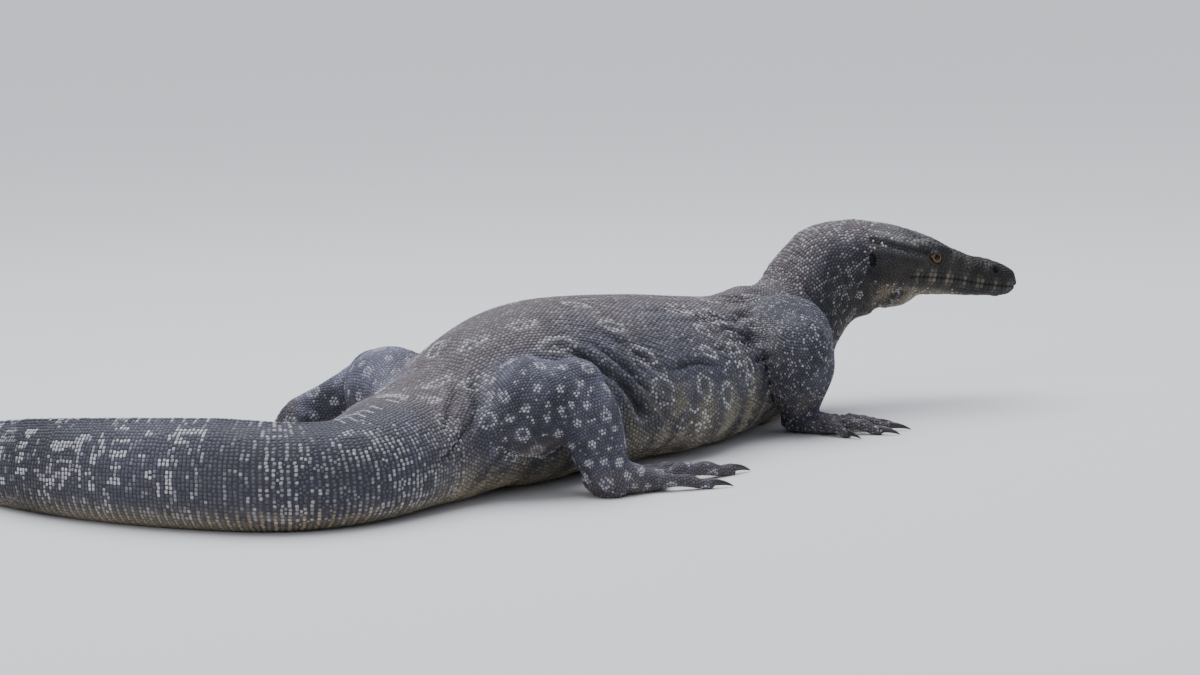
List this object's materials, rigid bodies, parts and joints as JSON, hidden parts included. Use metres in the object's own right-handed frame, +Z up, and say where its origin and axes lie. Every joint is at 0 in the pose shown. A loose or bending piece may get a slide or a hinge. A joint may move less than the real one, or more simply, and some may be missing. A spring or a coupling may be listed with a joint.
{
  "type": "water monitor lizard",
  "caption": "Large dark monitor lizard at life size, resting on its belly with the neck raised, head turned and long flattened tail in a bend.",
  "frame": {"origin": "on the floor under the middle of the trunk, on the belly's resting flat", "axes": "+X along the whole animal's spread, from the tail's side to the head's side; +Y away from the side the picture shows; +Z up"},
  "size_m": [1.6484, 0.7235, 0.1897],
  "materials": {
    "skin": "dry matt scales, dark grey with pale spots and rings",
    "claw": "polished dark horn",
    "eye": "wet, clear over a brown iris"
  },
  "bodies": {
    "root": {"torso": "skin", "tail_1": "skin", "tail_2": "skin", "tail_3": "skin", "tail_4": "skin", "tail_5": "skin", "neck": "skin", "head": "skin", "eye_left": "eye", "eye_right": "eye", "right_thigh": "skin", "right_shin": "skin", "right_foot": "skin", "right_foot_claw_1": "claw", "right_foot_claw_2": "claw", "right_foot_claw_3": "claw", "right_foot_claw_4": "claw", "right_foot_claw_5": "claw", "left_thigh": "skin", "left_shin": "skin", "left_foot": "skin", "left_foot_claw_1": "claw", "left_foot_claw_2": "claw", "left_foot_claw_3": "claw", "left_foot_claw_4": "claw", "left_foot_claw_5": "claw", "right_upper_arm": "skin", "right_forearm": "skin", "right_hand": "skin", "right_hand_claw_1": "claw", "right_hand_claw_2": "claw", "right_hand_claw_3": "claw", "right_hand_claw_4": "claw", "right_hand_claw_5": "claw", "left_upper_arm": "skin", "left_forearm": "skin", "left_hand": "skin", "left_hand_claw_1": "claw", "left_hand_claw_2": "claw", "left_hand_claw_3": "claw", "left_hand_claw_4": "claw", "left_hand_claw_5": "claw"}
  },
  "joints": []
}
